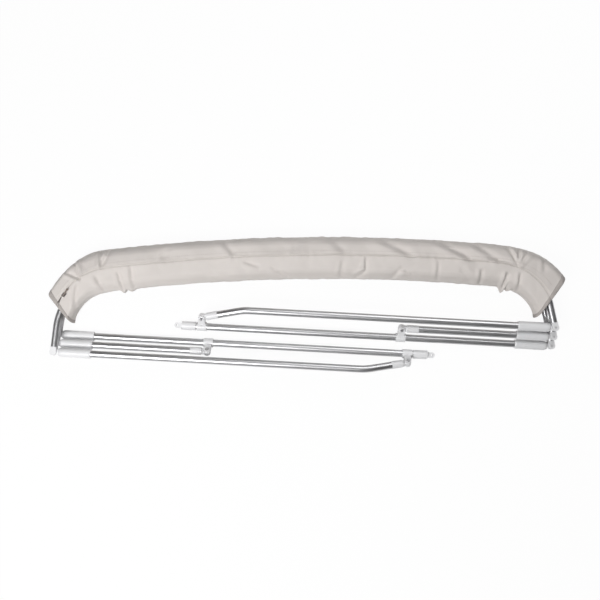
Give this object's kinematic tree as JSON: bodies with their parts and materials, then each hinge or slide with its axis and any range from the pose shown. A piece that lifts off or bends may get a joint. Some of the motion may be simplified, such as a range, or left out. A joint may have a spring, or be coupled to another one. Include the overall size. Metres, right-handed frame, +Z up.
{
  "type": "folding boat sun canopy",
  "caption": "Folding sun canopy for a boat: bent tube bows with hinged, inward-folded legs and jaw slides, stowed in a zipped fabric boot.",
  "frame": {"origin": "on the boot's flat underside, under the middle of the middle bow's crown", "axes": "+X along the boot, +Y from the knuckles to the crowns, +Z up from the surface that it lies on"},
  "size_m": [1.8116, 0.4862, 0.1055],
  "materials": {
    "boot_cloth": "woven polyester canvas, beige",
    "boot_binding": "dark bound edge",
    "canopy_cloth": "woven polyester canvas, beige",
    "zip_tape": "coil zip on woven tape",
    "tube_alloy": "satin anodised",
    "nylon": "moulded white nylon",
    "steel": "satin stainless",
    "slider_metal": "bright plated",
    "pull_tab": "dull painted tab"
  },
  "bodies": {
    "main_bow_left_half": {"main_bow_left": "tube_alloy", "main_fork_left": "nylon"},
    "rear_bow_left_half": {"rear_bow_left": "tube_alloy", "rear_fork_left": "nylon"},
    "main_left_sleeve": {"main_sleeve_left": "nylon"},
    "main_right_sleeve": {"main_sleeve_right": "nylon"},
    "mid_left_sleeve": {"mid_sleeve_left": "nylon"},
    "mid_right_sleeve": {"mid_sleeve_right": "nylon"},
    "rear_left_sleeve": {"rear_sleeve_left": "nylon"},
    "rear_right_sleeve": {"rear_sleeve_right": "nylon"},
    "slider": {"zip_slider": "slider_metal"},
    "pull": {"zip_pull": "pull_tab"},
    "left_legs": {"main_plug_left": "nylon", "mid_plug_left": "nylon", "rear_plug_left": "nylon", "knuckle_pins_left": "steel", "main_leg_left": "tube_alloy", "mid_leg_left": "tube_alloy", "rear_leg_left": "tube_alloy", "mid_jaw_left": "nylon", "rear_jaw_left": "nylon", "mid_fitting_left": "nylon", "rear_fitting_left": "nylon", "jaw_bolts_left": "steel", "eye_end_left": "nylon"},
    "root": {"boot_shell": "boot_cloth", "boot_zip": "zip_tape", "boot_hem_left": "boot_binding", "boot_hem_right": "boot_binding", "canopy_roll_upper": "canopy_cloth", "canopy_roll_lower": "canopy_cloth", "mid_bow_left": "tube_alloy", "mid_bow_right": "tube_alloy", "main_bow_right": "tube_alloy", "rear_bow_right": "tube_alloy", "main_bow_splice": "steel", "mid_bow_splice": "steel", "rear_bow_splice": "steel", "mid_fork_left": "nylon", "main_fork_right": "nylon", "mid_fork_right": "nylon", "rear_fork_right": "nylon", "main_plug_right": "nylon", "mid_plug_right": "nylon", "rear_plug_right": "nylon", "knuckle_pins_right": "steel", "main_leg_right": "tube_alloy", "mid_leg_right": "tube_alloy", "rear_leg_right": "tube_alloy", "mid_jaw_right": "nylon", "rear_jaw_right": "nylon", "mid_fitting_right": "nylon", "rear_fitting_right": "nylon", "jaw_bolts_right": "steel", "eye_end_right": "nylon"}
  },
  "joints": [
    {"name": "left_legs_fold", "type": "hinge", "parent": "root", "child": "left_legs", "pos_m": [-0.886, -0.293, 0.0435], "axis": [0, 0, 1], "range_deg": [-94.5, 0]},
    {"name": "main_bow_follow", "type": "hinge", "parent": "left_legs", "child": "main_bow_left_half", "pos_m": [-0.88543, -0.2613, 0.0165], "axis": [0, 0, 1], "range_deg": [0, 96.9]},
    {"name": "rear_bow_follow", "type": "hinge", "parent": "left_legs", "child": "rear_bow_left_half", "pos_m": [-0.88543, -0.3247, 0.0705], "axis": [0, 0, 1], "range_deg": [0, 93.1]},
    {"name": "main_left_sleeve_slide", "type": "slide", "parent": "left_legs", "child": "main_left_sleeve", "axis": [0.9977, -0.068, 0], "range_m": [0, 0.08]},
    {"name": "main_right_sleeve_slide", "type": "slide", "parent": "root", "child": "main_right_sleeve", "axis": [-0.9977, 0.068, 0], "range_m": [0, 0.08]},
    {"name": "mid_left_sleeve_slide", "type": "slide", "parent": "left_legs", "child": "mid_left_sleeve", "axis": [0.9977, -0.068, 0], "range_m": [0, 0.08]},
    {"name": "mid_right_sleeve_slide", "type": "slide", "parent": "root", "child": "mid_right_sleeve", "axis": [-0.9977, 0.068, 0], "range_m": [0, 0.08]},
    {"name": "rear_left_sleeve_slide", "type": "slide", "parent": "left_legs", "child": "rear_left_sleeve", "axis": [0.9977, -0.068, 0], "range_m": [0, 0.08]},
    {"name": "rear_right_sleeve_slide", "type": "slide", "parent": "root", "child": "rear_right_sleeve", "axis": [-0.9977, 0.068, 0], "range_m": [0, 0.08]},
    {"name": "zip_slide", "type": "slide", "parent": "root", "child": "slider", "axis": [-0.5466, -0.8374, 0], "range_m": [0, 0.018]},
    {"name": "zip_pull_flip", "type": "hinge", "parent": "slider", "child": "pull", "pos_m": [-0.84483, -0.1294, 0.103], "axis": [0.8374, -0.5466, 0], "range_deg": [0, 150]}
  ],
  "couplings": [
    {"joint": "main_bow_follow", "follows": "left_legs_fold", "ratio": -1.0201},
    {"joint": "rear_bow_follow", "follows": "left_legs_fold", "ratio": -0.97989}
  ]
}
